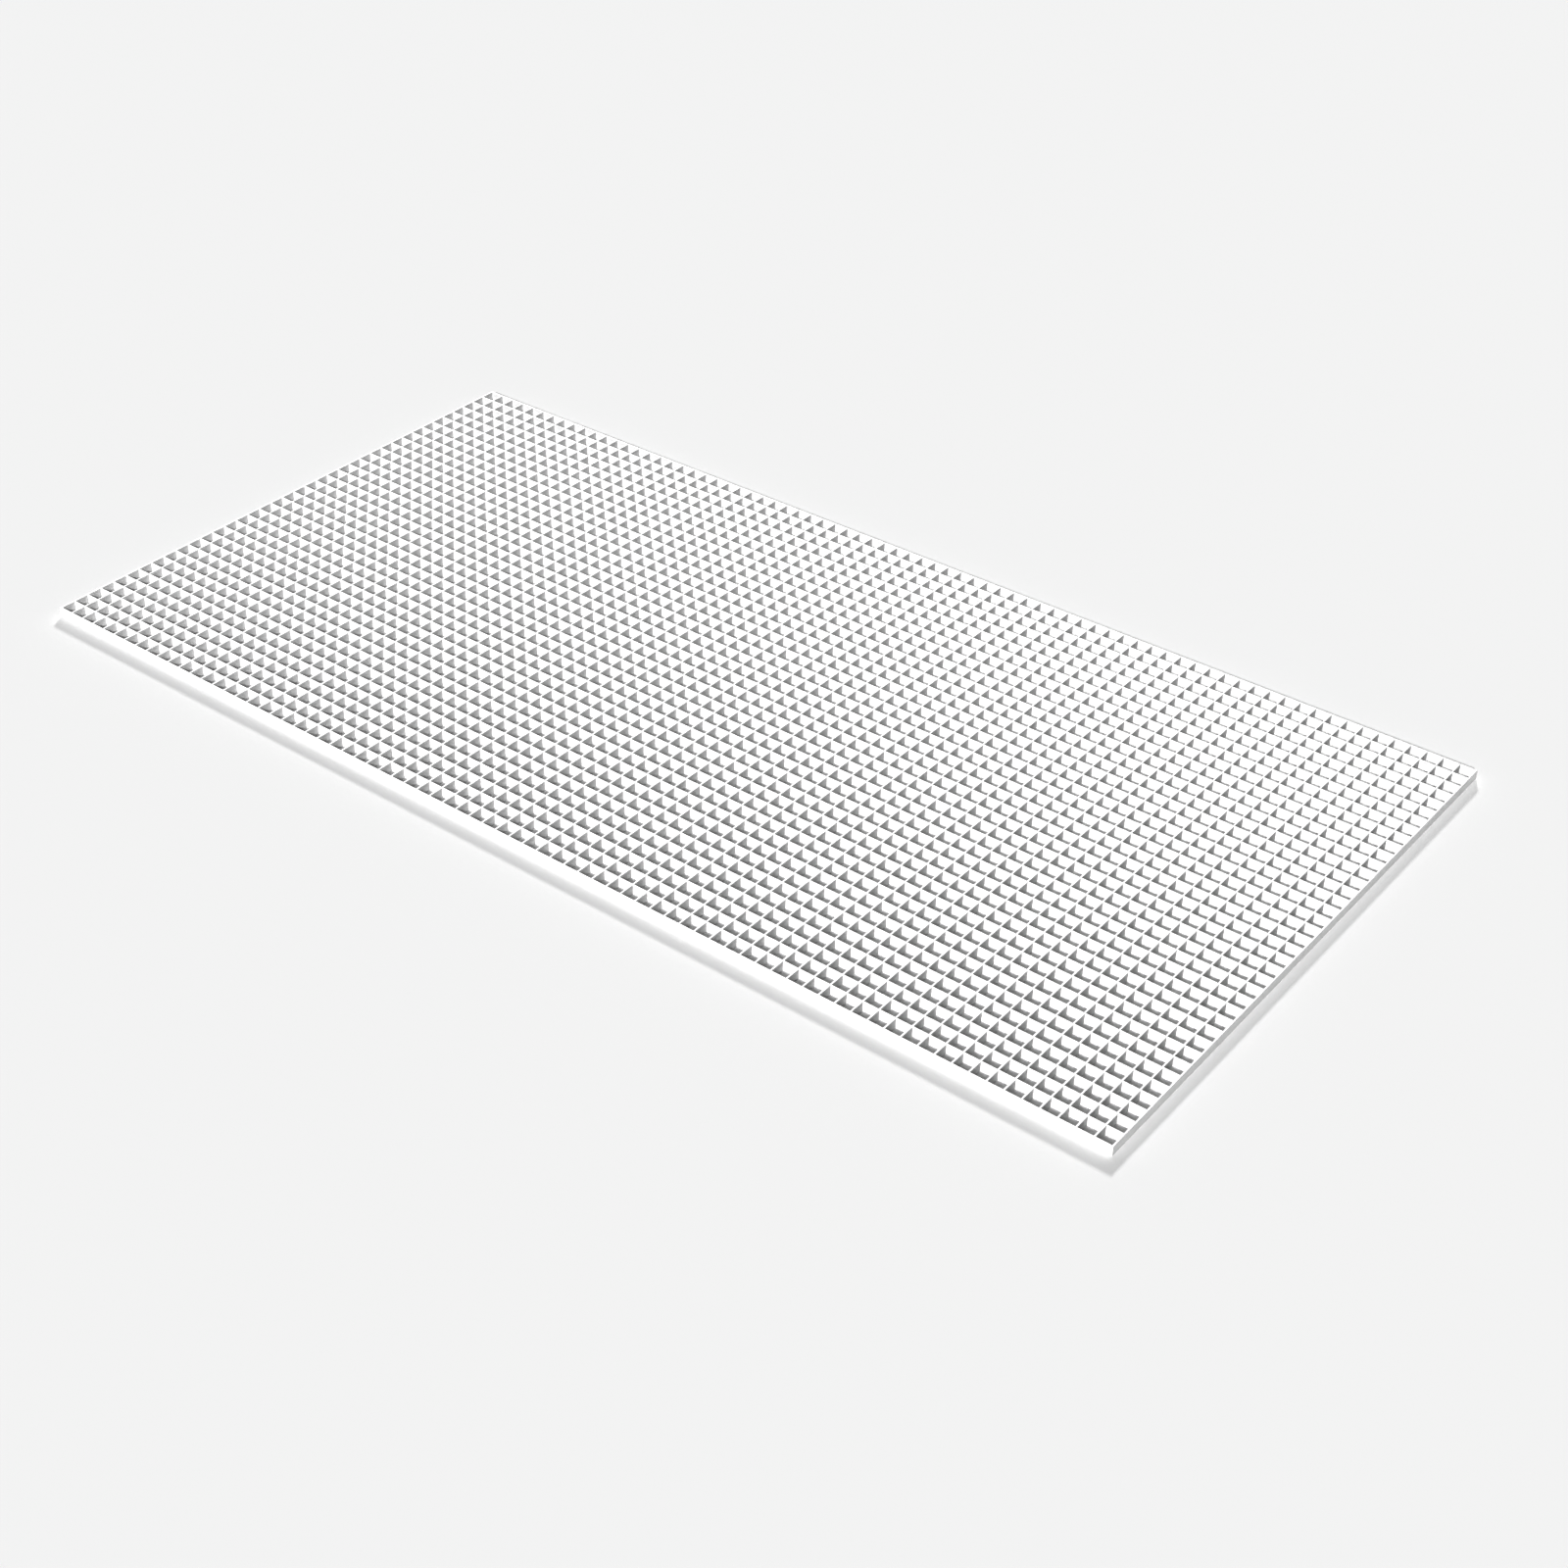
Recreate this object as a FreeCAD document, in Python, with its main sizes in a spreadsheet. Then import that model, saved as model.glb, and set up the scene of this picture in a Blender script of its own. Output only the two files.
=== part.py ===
"""Egg-crate grid panel: slotted blades that cross and half-lap into open square cells.

Millimetres, +Z up.  X runs along the panel and Y across it.  The origin is at the
middle of the underside.

Long blades run along X and are slotted from their top edge.  Cross blades run along Y
and are slotted from their bottom edge.  At each crossing the cross blade drops into the
long blade's slot until the floors of the two slots meet, so every edge finishes flush on
both faces of the panel.  At the rim the last slot runs out through the blade's end, and
the same half-lap becomes a corner joint.
"""

import FreeCAD, Part
import math
import os
import Sketcher

# ------------------------------------------------------------------ driving dimensions

DIMENSIONS = (
    ("pitch", 15.875, "centre to centre of neighbouring blades, 5/8 inch"),
    ("cells_long", 76, "cells along the panel"),
    ("cells_wide", 38, "cells across the panel"),
    ("blade_depth", 9.525, "height of every blade, 3/8 inch"),
    ("blade_wall", 1.5875, "thickness of every blade, 1/16 inch"),
    ("seat_height", 4.7625, "height above the underside where crossing blades rest"),
    ("slot_gap", 0.05, "clearance at each side of a blade in the slot it drops into"),
)

# The most nodes that the inner blades of each direction may take.  Where there are more
# blades than nodes, neighbouring blades share a node as separate solids.
LONG_NODE_LIMIT = 40
CROSS_NODE_LIMIT = 15

VOLUME_TOLERANCE = 1e-6  # as a share of the volume worked out from the sizes

doc = FreeCAD.newDocument("EggCratePanel")

sizes = doc.addObject("Spreadsheet::Sheet", "sizes")
for row, (alias, value, meaning) in enumerate(DIMENSIONS, start=1):
    sizes.set(f"A{row}", meaning)
    sizes.set(f"B{row}", str(value))
    sizes.setAlias(f"B{row}", alias)
doc.recompute()

cells_long = int(sizes.cells_long)
cells_wide = int(sizes.cells_wide)

# Lengths as expressions, for binding to sketches, features and placements
LONG_LENGTH = "(sizes.cells_long * sizes.pitch + sizes.blade_wall)"
CROSS_LENGTH = "(sizes.cells_wide * sizes.pitch + sizes.blade_wall)"
SLOT_WIDTH = "(sizes.blade_wall + 2 * sizes.slot_gap)"


# ------------------------------------------------------------- sketches and their plane


def origin_plane(body, role):
    """The plane with this role among the body's own origin features."""
    return next(part for part in body.Origin.OriginFeatures if part.Role == role)


def rectangle(body, name, plane, left, bottom, width, height):
    """A rectangle on one of the body's origin planes, its four sizes bound to the sheet."""
    sketch = body.newObject("Sketcher::SketchObject", name)
    sketch.AttachmentSupport = [(origin_plane(body, plane), "")]
    sketch.MapMode = "FlatFace"
    corners = [FreeCAD.Vector(*xy) for xy in ((0, 0), (1, 0), (1, 1), (0, 1))]
    for start, end in zip(corners, corners[1:] + corners[:1]):
        sketch.addGeometry(Part.LineSegment(start, end), False)
    for side in range(4):
        sketch.addConstraint(Sketcher.Constraint("Coincident", side, 2, (side + 1) % 4, 1))
    for side in (0, 2):
        sketch.addConstraint(Sketcher.Constraint("Horizontal", side))
        sketch.addConstraint(Sketcher.Constraint("Vertical", side + 1))
    bound_sizes = (
        ("left", Sketcher.Constraint("DistanceX", -1, 1, 0, 1, 1), left),
        ("bottom", Sketcher.Constraint("DistanceY", -1, 1, 0, 1, 1), bottom),
        ("width", Sketcher.Constraint("DistanceX", 0, 1, 0, 2, 1), width),
        ("height", Sketcher.Constraint("DistanceY", 1, 1, 1, 2, 1), height),
    )
    for label, constraint, expression in bound_sizes:
        sketch.renameConstraint(sketch.addConstraint(constraint), label)
        sketch.setExpression(f"Constraints.{label}", expression)
    return sketch


def repeat(body, name, feature, axis, count):
    """Repeat a feature at the blade pitch along an axis of one of the body's sketches."""
    pattern = body.newObject("PartDesign::LinearPattern", name)
    pattern.Originals = [feature]
    pattern.Direction = axis
    pattern.Mode = "Spacing"
    pattern.setExpression("Offset", "sizes.pitch")
    pattern.setExpression("Occurrences", count)
    pattern.Refine = False
    body.Tip = pattern


# ------------------------------------------------------------------------ slotted blades


def slotted_blades(label, count, length, crossings, slot_bottom, slot_height):
    """Blades side by side at the pitch, with a slot wherever another blade crosses them.

    The body's own X runs along the blades, from the middle of their length, and its Y
    steps from each blade to the next, from the middle of the first one's thickness.
    """
    body = doc.addObject("PartDesign::Body", label)
    body.Label = label

    outline = rectangle(
        body, label + "_outline", "XY_Plane",
        left=f"-{length} / 2", bottom="-sizes.blade_wall / 2",
        width=length, height="sizes.blade_wall",
    )
    blade = body.newObject("PartDesign::Pad", label + "_blade")
    blade.Profile = outline
    blade.setExpression("Length", "sizes.blade_depth")
    body.Tip = blade
    if count > 1:
        repeat(body, label + "_row", blade, (outline, ["V_Axis"]), str(count))

    # The first slot stands on the line of the rim blade, half a wall in from the end
    slot_side = rectangle(
        body, label + "_slot_side", "XZ_Plane",
        left=f"-({length} - sizes.blade_wall) / 2 - {SLOT_WIDTH} / 2", bottom=slot_bottom,
        width=SLOT_WIDTH, height=slot_height,
    )
    slot = body.newObject("PartDesign::Pocket", label + "_slot")
    slot.Profile = slot_side
    slot.SideType = "Two sides"
    slot.setExpression("Length", f"{count} * sizes.pitch")  # past the last blade, along +Y
    slot.setExpression("Length2", "sizes.blade_wall")  # out of the first blade, along -Y
    slot.Refine = False
    repeat(body, label + "_slots", slot, (slot_side, ["H_Axis"]), crossings)
    return body


def long_blades(label, line, count=1):
    """Blades along X, slotted from the top, the first of them on this line across Y."""
    body = slotted_blades(
        label, count, LONG_LENGTH, crossings="sizes.cells_long + 1",
        slot_bottom="sizes.seat_height", slot_height="sizes.blade_depth - sizes.seat_height",
    )
    body.setExpression("Placement.Base.y", f"({line} - sizes.cells_wide / 2) * sizes.pitch")
    return body


def cross_blades(label, line, count=1):
    """Blades along Y, slotted from the underside, the first of them on this line along X."""
    body = slotted_blades(
        label, count, CROSS_LENGTH, crossings="sizes.cells_wide + 1",
        slot_bottom="0", slot_height="sizes.seat_height",
    )
    quarter_turn = FreeCAD.Rotation(FreeCAD.Vector(0, 0, 1), -90)
    body.Placement = FreeCAD.Placement(FreeCAD.Vector(), quarter_turn)
    body.setExpression("Placement.Base.x", f"({line} - sizes.cells_long / 2) * sizes.pitch")
    return body


def runs_of_neighbours(last_line, node_limit):
    """Inner lines 1 to last_line as (first line, count) runs, at most one run for each node."""
    run = math.ceil(last_line / node_limit)
    return [
        (line, min(run, last_line - line + 1))
        for line in range(1, last_line + 1, run)
    ]


def inner_label(name, line, count):
    """The name with its line's number, or with its first and last where it has several."""
    if count == 1:
        return f"{name}_blade_{line:02d}"
    return f"{name}_blades_{line:02d}_to_{line + count - 1:02d}"


# ------------------------------------------------------------------------- the assembly

long_nodes = [
    long_blades("front_edge_blade", 0),
    long_blades("back_edge_blade", cells_wide),
]
for line, count in runs_of_neighbours(cells_wide - 1, LONG_NODE_LIMIT):
    long_nodes.append(long_blades(inner_label("long", line, count), line, count))

cross_nodes = [
    cross_blades("left_end_blade", 0),
    cross_blades("right_end_blade", cells_long),
]
for line, count in runs_of_neighbours(cells_long - 1, CROSS_NODE_LIMIT):
    cross_nodes.append(cross_blades(inner_label("cross", line, count), line, count))

doc.recompute()

# --------------------------------------------------------------------- checks and export


def blade_volume(cells, slot_height):
    """One blade's volume worked out from the sizes.  Its two end slots are open outwards."""
    wall = float(sizes.blade_wall)
    gap = float(sizes.slot_gap)
    length = cells * float(sizes.pitch) + wall
    slots = (cells + 1) * (wall + 2 * gap) - 2 * gap
    return wall * (length * float(sizes.blade_depth) - slots * slot_height)


def check(node, volume_of_one):
    """Stop unless the node's shape is sound and every blade in it has the right volume."""
    shape = node.Shape
    if shape.isNull() or not shape.isValid():
        raise RuntimeError(f"{node.Label} has no valid shape")
    for solid in shape.Solids:
        if abs(solid.Volume - volume_of_one) > VOLUME_TOLERANCE * volume_of_one:
            raise RuntimeError(f"{node.Label}: {solid.Volume} mm3, not {volume_of_one}")


for item in doc.Objects:
    if "Invalid" in item.State or "Error" in item.State:
        raise RuntimeError(f"{item.Label} did not compute: {item.State}")

seat_height = float(sizes.seat_height)
for node in long_nodes:
    check(node, blade_volume(cells_long, float(sizes.blade_depth) - seat_height))
for node in cross_nodes:
    check(node, blade_volume(cells_wide, seat_height))

nodes = long_nodes + cross_nodes
blades = sum(len(node.Shape.Solids) for node in nodes)
wanted = (cells_long + 1) + (cells_wide + 1)
if blades != wanted:
    raise RuntimeError(f"{blades} blades, where the grid has {wanted}")

os.makedirs("parts", exist_ok=True)
for node in nodes:
    node.Shape.exportStep(f"parts/{node.Label}.step")

print(f"{len(nodes)} nodes, {blades} blades")
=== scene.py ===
# %% [markdown]
# # A white egg-crate grid panel
#
# The real object is a flat panel of thin white plastic blades, about 1.2 m by 0.6 m and
# only 9.5 mm thick. Long blades run one way and cross blades run the other, and they
# slot into each other like the dividers in a box of eggs, so the panel is nearly all
# open square cells. This lesson keeps the sizes and places that the CAD model settled
# and spends its effort on what CAD leaves out: the soft edges of each blade, the small
# chamfers where two blades cross, and a plastic that looks moulded.

# %% Load the fixed CAD frame
import math

import bmesh
import bpy
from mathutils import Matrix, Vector


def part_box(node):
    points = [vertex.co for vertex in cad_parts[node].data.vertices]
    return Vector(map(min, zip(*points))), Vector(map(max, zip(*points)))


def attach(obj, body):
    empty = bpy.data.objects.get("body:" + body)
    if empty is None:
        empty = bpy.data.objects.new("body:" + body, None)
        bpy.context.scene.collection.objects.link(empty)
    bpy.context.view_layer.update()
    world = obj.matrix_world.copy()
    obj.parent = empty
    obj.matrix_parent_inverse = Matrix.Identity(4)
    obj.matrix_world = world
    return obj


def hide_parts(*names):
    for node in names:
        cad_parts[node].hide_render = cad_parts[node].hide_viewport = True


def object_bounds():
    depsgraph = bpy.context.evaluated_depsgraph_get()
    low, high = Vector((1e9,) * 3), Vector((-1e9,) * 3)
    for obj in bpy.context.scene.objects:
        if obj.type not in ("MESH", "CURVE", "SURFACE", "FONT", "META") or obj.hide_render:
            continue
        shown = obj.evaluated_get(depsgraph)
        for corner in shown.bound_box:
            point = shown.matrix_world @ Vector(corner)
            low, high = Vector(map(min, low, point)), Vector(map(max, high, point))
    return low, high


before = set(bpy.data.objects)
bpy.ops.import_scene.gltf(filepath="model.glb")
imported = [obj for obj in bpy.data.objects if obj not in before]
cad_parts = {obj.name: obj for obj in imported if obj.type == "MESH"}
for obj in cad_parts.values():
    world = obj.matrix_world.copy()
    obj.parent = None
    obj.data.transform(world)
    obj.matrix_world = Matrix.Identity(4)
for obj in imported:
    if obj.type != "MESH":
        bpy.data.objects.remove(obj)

cad_low, cad_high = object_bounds()
print("panel, mm:", [round(1000 * side, 2) for side in cad_high - cad_low])

# %% [markdown]
# ## Reading the grid off the CAD
#
# Every measure in this step comes from the CAD nodes, so the lesson can't drift away from
# them. One long blade gives the height of the seat, which is where its slots stop, and
# the width of a slot: its corners stand at only three heights, and the middle one is the
# seat. The alternative was to type the sizes in again, which goes wrong as soon as
# someone changes the CAD.

# %% Measure the blades, the pitch and the slots
BODY = "root"
MM = 0.001

end_low, end_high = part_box("left_end_blade")
edge_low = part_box("front_edge_blade")[0]
next_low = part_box("long_blade_01")[0]

wall = end_high.x - end_low.x
depth = cad_high.z - cad_low.z
pitch = next_low.y - edge_low.y
cells_long = round((cad_high.x - cad_low.x - wall) / pitch)
cells_wide = round((cad_high.y - cad_low.y - wall) / pitch)

corners = [v.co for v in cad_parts["long_blade_01"].data.vertices]
mid_height = (cad_low.z + cad_high.z) / 2
seat = min((corner.z for corner in corners), key=lambda z: abs(z - mid_height))
centre_slot = [abs(corner.x) for corner in corners if abs(corner.x) < pitch / 2]
slot_gap = max(centre_slot) - wall / 2
print(f"{cells_long} by {cells_wide} cells at a pitch of {pitch / MM:.3f} mm")
print(f"blades {wall / MM:.4f} by {depth / MM:.3f} mm, seat at {seat / MM:.4f} mm")
print(f"slots leave {slot_gap / MM:.3f} mm at each side of a blade")

# %% [markdown]
# ## The camera
#
# The view looks down on one corner of the panel from about 35 degrees, so both sets of
# blades run away from the eye and each one shows its side as well as its top edge. A
# lens of about 55 mm on a full frame keeps the far corner from shrinking too much. The
# camera comes before any modelling, because it says how large a detail has to be to
# show: here a blade is only a thin line, so straight lines and tones matter most.

# %% Stand the camera over the near corner
CAMERA_POINT = Vector((1.19765, -1.43420, 1.22579))  # metres from the panel's middle
CAMERA_HEADING = 38.409  # degrees that the view turns left of the panel's +Y
CAMERA_DIP = 35.450  # degrees below the horizon
LENS = 54.878  # mm
SENSOR = 36  # mm across

eye = bpy.data.cameras.new("camera")
eye.lens = LENS
eye.sensor_width = SENSOR
camera = bpy.data.objects.new("camera", eye)
camera.location = CAMERA_POINT
camera.rotation_euler = (math.radians(90 - CAMERA_DIP), 0, math.radians(CAMERA_HEADING))
bpy.context.scene.collection.objects.link(camera)
bpy.context.scene.camera = camera
print("camera to the panel's middle, m:", round(CAMERA_POINT.length, 3))

# %% [markdown]
# ## The section of a blade
#
# Moulded edges are never sharp: the plastic can't fill a perfect corner, and the tool
# that cuts the mould leaves a small radius. So the section is a thin bar with four
# rounded corners. It is drawn as two open lines that meet at the height of the seat. The
# upper line is the tooth that stands between two slots. The lower line is the strip that
# runs unbroken under the slots. A Bevel modifier could round the edges instead, but it
# would also round the places where this part must stay flat to seat on its neighbour.

# %% Draw the two halves of the section
EDGE_RADIUS = 0.25 * MM
SLOT_CHAMFER = 0.08 * MM
ARC_STEPS = 2


def half_section(seat_height, inset=0):
    """Points (across, up) from the right side at the seat, over the top, to the left side."""
    side = wall / 2 - inset
    top = depth - inset
    radius = EDGE_RADIUS - inset
    arc = []
    for step in range(ARC_STEPS + 1):
        turn = math.radians(90) * step / ARC_STEPS
        across = side - radius + radius * math.cos(turn)
        arc.append((across, top - radius + radius * math.sin(turn)))
    right = [(side, seat_height)] + arc
    left = [(-across, up) for across, up in reversed(right)]
    return right + left


def upside_down(points):
    """The same points with the blade's top and bottom changed over."""
    return [(across, depth - up) for across, up in points]


print("points in the upper half of a section:", len(half_section(seat)))

# %% [markdown]
# ## A slotted blade as one closed skin
#
# A blade could be a bar with boxes cut out of it by Boolean modifiers. Over a hundred
# blades with 39 or 77 slots each, that is slow and leaves untidy faces. The blade is so
# regular that it is easier to walk along it instead: at each slot the upper line stops
# at a small chamfer, a flat wall closes it, and a flat seat bridges to the next tooth.
# Every face is made once, in order, and the skin closes with no gaps. The chamfers are
# real too: they lead a blade into its slot, and they leave the fine line that shows
# where two blades cross.

# %% Build one blade along its own length
def blade_skin(mesh, place, cells, seat_height):
    """Add one blade to a bmesh. place maps (along, across, up) to the panel's own x, y and z."""
    half_length = cells * pitch / 2 + wall / 2
    half_slot = wall / 2 + slot_gap
    upper = half_section(seat_height)
    upper_inset = half_section(seat_height, SLOT_CHAMFER)
    lower = upside_down(half_section(depth - seat_height))
    lower_inset = upside_down(half_section(depth - seat_height, SLOT_CHAMFER))

    def ring(along, points):
        """New corners at one place along the blade."""
        return [mesh.verts.new(place(along, across, up)) for across, up in points]

    def strip(first, second):
        """A face between each two corners of one ring and the same two of the next."""
        for a, b, c, d in zip(first, first[1:], second[1:], second):
            mesh.faces.new((a, b, c, d))

    # the first end: the flat end of the strip, then the chamfer round it
    tip = ring(-half_length, lower_inset)
    low = ring(-half_length + SLOT_CHAMFER, lower)
    mesh.faces.new(tip)
    strip(tip, low)
    seat_edge = [low[0], tip[0], tip[-1], low[-1]]

    for cell in range(cells):
        start = (cell - cells / 2) * pitch + half_slot
        end = start + pitch - 2 * half_slot

        # the tooth's first wall, the seat up to it and the strip below
        wall_in = ring(start, upper_inset)
        mesh.faces.new(wall_in)
        tooth_low = ring(start + SLOT_CHAMFER, lower)
        tooth_in = [tooth_low[0]] + ring(start + SLOT_CHAMFER, upper[1:-1]) + [tooth_low[-1]]
        strip(low, tooth_low)
        strip(wall_in, tooth_in)
        mesh.faces.new(seat_edge + [tooth_low[-1], wall_in[-1], wall_in[0], tooth_low[0]])

        # the tooth's own length, and its second wall
        far_low = ring(end - SLOT_CHAMFER, lower)
        tooth_out = [far_low[0]] + ring(end - SLOT_CHAMFER, upper[1:-1]) + [far_low[-1]]
        wall_out = ring(end, upper_inset)
        strip(tooth_low, far_low)
        strip(tooth_in, tooth_out)
        strip(tooth_out, wall_out)
        mesh.faces.new(wall_out)
        seat_edge = [far_low[0], wall_out[0], wall_out[-1], far_low[-1]]
        low = far_low

    # the last end, the other way round
    last = ring(half_length - SLOT_CHAMFER, lower)
    tip = ring(half_length, lower_inset)
    strip(low, last)
    strip(last, tip)
    mesh.faces.new(tip)
    mesh.faces.new(seat_edge + [last[-1], tip[-1], tip[0], last[0]])


print("a long blade is", round((cells_long * pitch + wall) / MM, 1), "mm from end to end")

# %% Turn a finished skin into a piece
def as_piece(mesh, name, finish, node):
    """Turn a bmesh into a piece that stands for one CAD node and has its finish."""
    bmesh.ops.recalc_face_normals(mesh, faces=mesh.faces)
    data = bpy.data.meshes.new(name)
    mesh.to_mesh(data)
    mesh.free()
    data.materials.append(finish)
    piece = bpy.data.objects.new(name, data)
    bpy.context.scene.collection.objects.link(piece)
    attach(piece, BODY)
    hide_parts(node)


print("nodes to draw:", len(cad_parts))

# %% [markdown]
# ## White moulded styrene
#
# The plastic is a plain neutral white. What makes it look like plastic and not like paint
# is small: a satin sheen, a very fine grain from the mould's spark-cut faces, and long soft
# streaks where the melt flowed along the blade. The lowest millimetres of every blade are
# also a little darker, in specks. An image wrapped round the blades would repeat from one
# to the next. Here the streaks, the grain and the darker specks are each a noise at its own
# scale instead, so no two blades are alike. Each one is weak, because clean white plastic
# hides its detail. The base is a light grey and not a full white: white walls that face each
# other pass light round and round, and a brighter base would lose the shade in the cells.

# %% Choose the plastic's numbers, and make a helper that adds a node
STREAK_TONES = ((0.625, 0.625, 0.625, 1), (0.665, 0.665, 0.665, 1))
STREAK_ENDS = (0.3, 0.7)  # the noise values where the two tones are reached
STREAK_SCALE = 18  # features to the metre, as in the other scales
STREAK_STRETCH = 12  # how many times longer a streak is than it is wide
SATIN = (0.38, 0.52)  # roughness from the smoothest streak to the dullest
STYRENE_IOR = 1.55
# darker specks low down: their tone, the height they reach, how strong and how fine
DARK_LOW_TONE = (0.50, 0.495, 0.485, 1)
DARK_LOW_HEIGHT = 3.5 * MM
DARK_LOW_COVER = 0.35
DARK_LOW_SCALE = 420
GRAIN_SCALE = 2600
GRAIN_HEIGHT = 0.04 * MM
GRAIN_STRENGTH = 0.12


def add_node(tree, kind, **inputs):
    """Add a node and set its inputs, with _ in place of a space in an input's name."""
    node = tree.nodes.new(kind)
    for name, value in inputs.items():
        node.inputs[name.replace("_", " ")].default_value = value
    return node


# how high the darker specks at the bottom of the blades reach
print("dust reaches", round(DARK_LOW_HEIGHT / MM, 1), "mm up the", round(depth / MM, 2), "mm walls")

# %% Make the plastic, with its streaks along the blade
def styrene(name, along_x):
    """White plastic. The flow streaks are stretched along X or along Y."""
    material = bpy.data.materials.new(name)
    material.use_nodes = True
    tree = material.node_tree
    link = tree.links.new
    plastic = tree.nodes["Principled BSDF"]
    plastic.inputs["IOR"].default_value = STYRENE_IOR
    place = tree.nodes.new("ShaderNodeTexCoord")

    # streaks: a noise squeezed across the blade and read off as two close tones
    squeeze = [STREAK_STRETCH] * 3
    squeeze[0 if along_x else 1] = 1
    stretch = add_node(tree, "ShaderNodeMapping", Scale=squeeze)
    link(place.outputs["Object"], stretch.inputs["Vector"])
    flow = add_node(tree, "ShaderNodeTexNoise", Scale=STREAK_SCALE, Detail=4, Roughness=0.55)
    link(stretch.outputs["Vector"], flow.inputs["Vector"])
    tint = tree.nodes.new("ShaderNodeValToRGB")
    for stop, position, tone in zip(tint.color_ramp.elements, STREAK_ENDS, STREAK_TONES):
        stop.position = position
        stop.color = tone
    link(flow.outputs["Fac"], tint.inputs["Fac"])

    # darker specks: most at the very bottom, none above their height, broken up by a fine noise
    height = tree.nodes.new("ShaderNodeSeparateXYZ")
    link(place.outputs["Object"], height.inputs["Vector"])
    low_down = add_node(tree, "ShaderNodeMapRange", From_Max=DARK_LOW_HEIGHT, To_Min=DARK_LOW_COVER, To_Max=0)
    link(height.outputs["Z"], low_down.inputs["Value"])
    specks = add_node(tree, "ShaderNodeTexNoise", Scale=DARK_LOW_SCALE, Detail=5, Roughness=0.7)
    link(place.outputs["Object"], specks.inputs["Vector"])
    cover = tree.nodes.new("ShaderNodeMath")
    cover.operation = "MULTIPLY"
    link(low_down.outputs["Result"], cover.inputs[0])
    link(specks.outputs["Fac"], cover.inputs[1])
    darkened_low = tree.nodes.new("ShaderNodeMix")
    darkened_low.data_type = "RGBA"
    darkened_low.inputs["B"].default_value = DARK_LOW_TONE
    link(cover.outputs["Value"], darkened_low.inputs["Factor"])
    link(tint.outputs["Color"], darkened_low.inputs["A"])
    link(darkened_low.outputs["Result"], plastic.inputs["Base Color"])

    # sheen: a little duller where the streaks are paler
    gloss = add_node(tree, "ShaderNodeMapRange", To_Min=SATIN[0], To_Max=SATIN[1])
    link(flow.outputs["Fac"], gloss.inputs["Value"])
    link(gloss.outputs["Result"], plastic.inputs["Roughness"])

    # grain: a fine bump all over
    grain = add_node(tree, "ShaderNodeTexNoise", Scale=GRAIN_SCALE, Detail=3, Roughness=0.6)
    link(place.outputs["Object"], grain.inputs["Vector"])
    bump = add_node(tree, "ShaderNodeBump", Strength=GRAIN_STRENGTH, Distance=GRAIN_HEIGHT)
    link(grain.outputs["Fac"], bump.inputs["Height"])
    link(bump.outputs["Normal"], plastic.inputs["Normal"])
    return material


long_plastic = styrene("styrene_long", along_x=True)
cross_plastic = styrene("styrene_cross", along_x=False)
print("plastics:", long_plastic.name, cross_plastic.name)

# %% [markdown]
# ## The long blades
#
# These run from left to right and are slotted from the top, so the cross blades drop into
# them. One blade copied by an Array modifier would look the same, but each CAD node needs
# a piece of its own here, so a loop makes them, each on the grid line of its own node.

# %% Make a piece for each long blade
def lines_in(node, axis, origin):
    """The grid lines that a node's blades stand on, counted along X (0) or Y (1)."""
    low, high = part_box(node)
    first = round((low[axis] + wall / 2 - origin) / pitch)
    last = round((high[axis] - wall / 2 - origin) / pitch)
    return range(first, last + 1)


def laid_long(y):
    """The place function of a long blade on the grid line at this y."""
    return lambda along, across, up: (along, y + across, up)


first_line = Vector((cad_low.x + wall / 2, cad_low.y + wall / 2, 0))
long_nodes = [node for node in sorted(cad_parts) if "long" in node or "edge" in node]
for node in long_nodes:
    skin = bmesh.new()
    for line in lines_in(node, 1, first_line.y):
        blade_skin(skin, laid_long(first_line.y + line * pitch), cells_long, seat)
    as_piece(skin, "moulded_" + node, long_plastic, node)
print("long blades:", len(long_nodes))

# %% [markdown]
# ## The cross blades
#
# A cross blade is the same bar turned a quarter round and upside down, with its slots
# open at the underside. Its seat is measured from its own unbroken edge, which is now
# the top one. Most of these nodes hold several blades, which is why each loop goes over
# the grid lines that a node covers.

# %% Make a piece for each node of cross blades
def laid_across(x):
    """The place function of a cross blade at this x, upside down."""
    return lambda along, across, up: (x + across, along, depth - up)


cross_nodes = [node for node in sorted(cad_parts) if node not in long_nodes]
for node in cross_nodes:
    skin = bmesh.new()
    for line in lines_in(node, 0, first_line.x):
        blade_skin(skin, laid_across(first_line.x + line * pitch), cells_wide, depth - seat)
    as_piece(skin, "moulded_" + node, cross_plastic, node)
print("nodes of cross blades:", len(cross_nodes))

# %% [markdown]
# ## The floor
#
# The panel lies on a plain pale floor, so large that its far edge is lost in the sky. It
# is a matt paint with no pattern and no shine, and it ends up a touch darker than the
# panel, so that the white rim can be made out against it. A curved backdrop would do as
# well, but a flat floor shows the same from every side.

# %% Lay the floor
FLOOR_SIZE = 40  # metres
FLOOR_GAP = 0.02 * MM
FLOOR_TONE = (0.74, 0.74, 0.74, 1)
FLOOR_ROUGHNESS = 0.8


def floor_paint():
    """A matt pale paint that mirrors nothing."""
    material = bpy.data.materials.new("studio_floor")
    material.use_nodes = True
    tree = material.node_tree
    paint = tree.nodes["Principled BSDF"]
    paint.inputs["Roughness"].default_value = FLOOR_ROUGHNESS
    paint.inputs["Specular IOR Level"].default_value = 0
    paint.inputs["Base Color"].default_value = FLOOR_TONE
    return material


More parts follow.
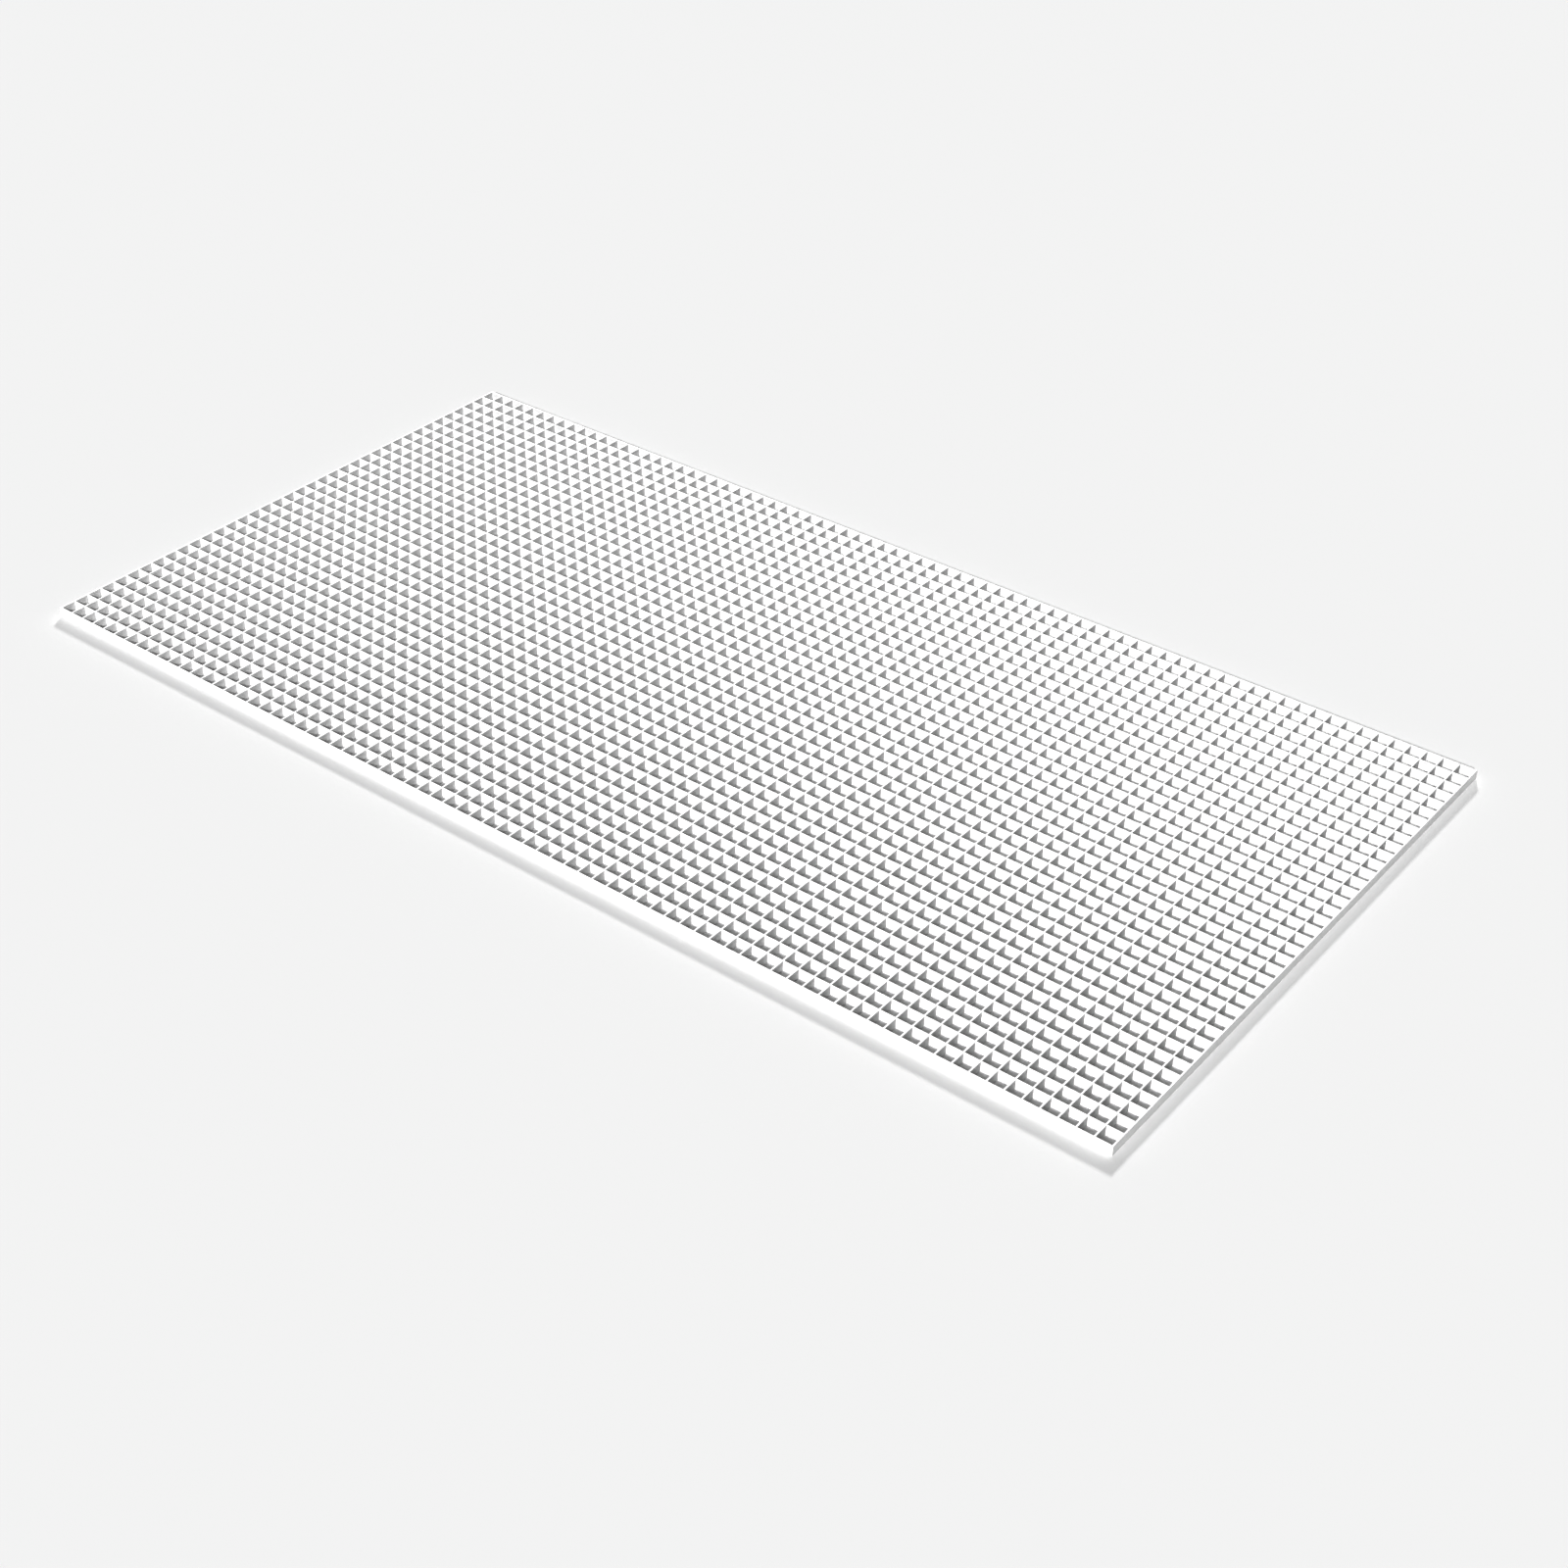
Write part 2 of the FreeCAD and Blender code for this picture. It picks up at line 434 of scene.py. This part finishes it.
half = FLOOR_SIZE / 2
floor_corners = [(-half, -half, 0), (half, -half, 0), (half, half, 0), (-half, half, 0)]
floor_mesh = bpy.data.meshes.new("studio_floor")
floor_mesh.from_pydata(floor_corners, [], [(0, 1, 2, 3)])
floor_mesh.materials.append(floor_paint())
floor = bpy.data.objects.new("studio_floor", floor_mesh)
floor.location.z = cad_low.z - FLOOR_GAP
bpy.context.scene.collection.objects.link(floor)
print("floor lies", round(FLOOR_GAP / MM, 3), "mm below the blades")

# %% [markdown]
# ## The light
#
# One soft box stands well back from the panel's front edge, near the right-hand end, and
# shines across the blades from about a third of the way up. It whitens the long blades'
# sides and only grazes the cross blades: near the right-hand end it is almost in line
# with them, so they go dark there and lighter towards the left. A wide lamp, far dimmer
# for its size, stands behind, where the top edges mirror it to the camera, so the tops
# stay white and the far sides aren't lost. A low strip at the right-hand end lights that
# end's outer side and skims over the cells. A weak sky fills the shade.
#
# These three lamps would leave the floor bright on one side and dark on the other, so
# they light everything but the floor. The floor has two suns of its own, which light it
# evenly as far as the eye can see. The stronger one comes over the camera's shoulder, and
# its shadow falls behind the panel. The other comes from behind and leaves a soft shade in
# front, which sets the panel on the floor. Both are low enough for the blades to keep
# them out of the cells.

# %% Set the soft box, with a helper for the lamps that light everything but the floor
KEY_POINT = Vector((0.70, -4.0, 2.85))  # metres from the panel's middle
KEY_SIZE = (0.5, 0.5)
KEY_POWER = 440  # watts

all_but_floor = bpy.data.collections.new("all_but_floor")
all_but_floor.objects.link(floor)
all_but_floor.collection_objects[0].light_linking.link_state = "EXCLUDE"


def panel_lamp(name, point, size, power):
    """A soft lamp at a point, turned to the panel's middle, that doesn't light the floor."""
    lamp = bpy.data.lights.new(name, "AREA")
    lamp.shape = "RECTANGLE"
    lamp.size, lamp.size_y = size
    lamp.energy = power
    light = bpy.data.objects.new(name, lamp)
    light.location = point
    light.rotation_euler = (-point).to_track_quat("-Z", "Y").to_euler()
    light.light_linking.receiver_collection = all_but_floor
    bpy.context.scene.collection.objects.link(light)


panel_lamp("soft_box", KEY_POINT, KEY_SIZE, KEY_POWER)
key_climb = math.degrees(math.asin(KEY_POINT.z / KEY_POINT.length))
print("soft box stands", round(key_climb, 1), "degrees up")

# %% Stand the wide lamp opposite the camera, and the strip at the right-hand end
SHEEN_DISTANCE = 4.9
SHEEN_SIZE = (4.0, 2.0)
SHEEN_POWER = 270
STRIP_POINT = Vector((3.2, -0.3, 0.2))
STRIP_SIZE = (1.6, 0.3)
STRIP_POWER = 32

mirrored_eye = Vector((-CAMERA_POINT.x, -CAMERA_POINT.y, CAMERA_POINT.z))
panel_lamp("sheen_light", mirrored_eye.normalized() * SHEEN_DISTANCE, SHEEN_SIZE, SHEEN_POWER)
panel_lamp("strip_light", STRIP_POINT, STRIP_SIZE, STRIP_POWER)
print("lamps on the panel:", [lamp.name for lamp in bpy.data.lights])

# %% Light the floor evenly, and nothing else
SUN_WIDTH = 6  # degrees across
# for each sun, the way towards it and its strength
FLOOR_SUNS = {
    "floor_sun_front": (Vector((0.5, -0.85, 0.56)), 5.35),
    "floor_sun_behind": (Vector((-0.5, 0.85, 0.45)), 2.45),
}

only_floor = bpy.data.collections.new("only_floor")
only_floor.objects.link(floor)
for name, (way, strength) in FLOOR_SUNS.items():
    lamp = bpy.data.lights.new(name, "SUN")
    lamp.energy = strength
    lamp.angle = math.radians(SUN_WIDTH)
    sun = bpy.data.objects.new(name, lamp)
    sun.rotation_euler = (-way).to_track_quat("-Z", "Y").to_euler()
    sun.light_linking.receiver_collection = only_floor
    bpy.context.scene.collection.objects.link(sun)
    climb = math.degrees(math.asin(way.z / way.length))
    print(name, "stands", round(climb, 1), "degrees up")

# %% [markdown]
# ## The sky
#
# A white sky bright enough to look pale would also fill every cell with light and wash
# the shades out. So the sky has two strengths: what the camera sees directly is pale, and
# what falls on the panel is weak. The same could be had with a painted wall behind the
# floor, but a wall would have to stand on every side at once.

# %% Hang a sky that looks pale and lights weakly
SKY_STRENGTH = 0.10
SKY_SEEN = 0.94

world = bpy.data.worlds.new("pale_sky")
world.use_nodes = True
sky = world.node_tree
weak = sky.nodes["Background"]
weak.inputs["Color"].default_value = (1, 1, 1, 1)
weak.inputs["Strength"].default_value = SKY_STRENGTH
pale = add_node(sky, "ShaderNodeBackground", Color=(1, 1, 1, 1), Strength=SKY_SEEN)
ray = sky.nodes.new("ShaderNodeLightPath")
seen = sky.nodes.new("ShaderNodeMixShader")
sky.links.new(ray.outputs["Is Camera Ray"], seen.inputs[0])
sky.links.new(weak.outputs["Background"], seen.inputs[1])
sky.links.new(pale.outputs["Background"], seen.inputs[2])
sky.links.new(seen.outputs["Shader"], sky.nodes["World Output"].inputs["Surface"])
bpy.context.scene.world = world
print("the sky looks", round(SKY_SEEN / SKY_STRENGTH, 1), "times as bright as it lights")

# %% [markdown]
# ## The view's tones
#
# A filmic view transform would grey the whites, and this object is nearly all white. The
# standard one keeps them clean. A gamma below 1 then deepens the middle tones and leaves
# white alone, which gives the cells their contrast. Turning the lamps down would deepen
# the shades too, but the white tops would go grey with them.

# %% Keep the whites clean and add some contrast
VIEW_GAMMA = 0.6

view = bpy.context.scene.view_settings
view.view_transform = "Standard"
view.gamma = VIEW_GAMMA
print("view:", view.view_transform, "with a gamma of", round(view.gamma, 2))
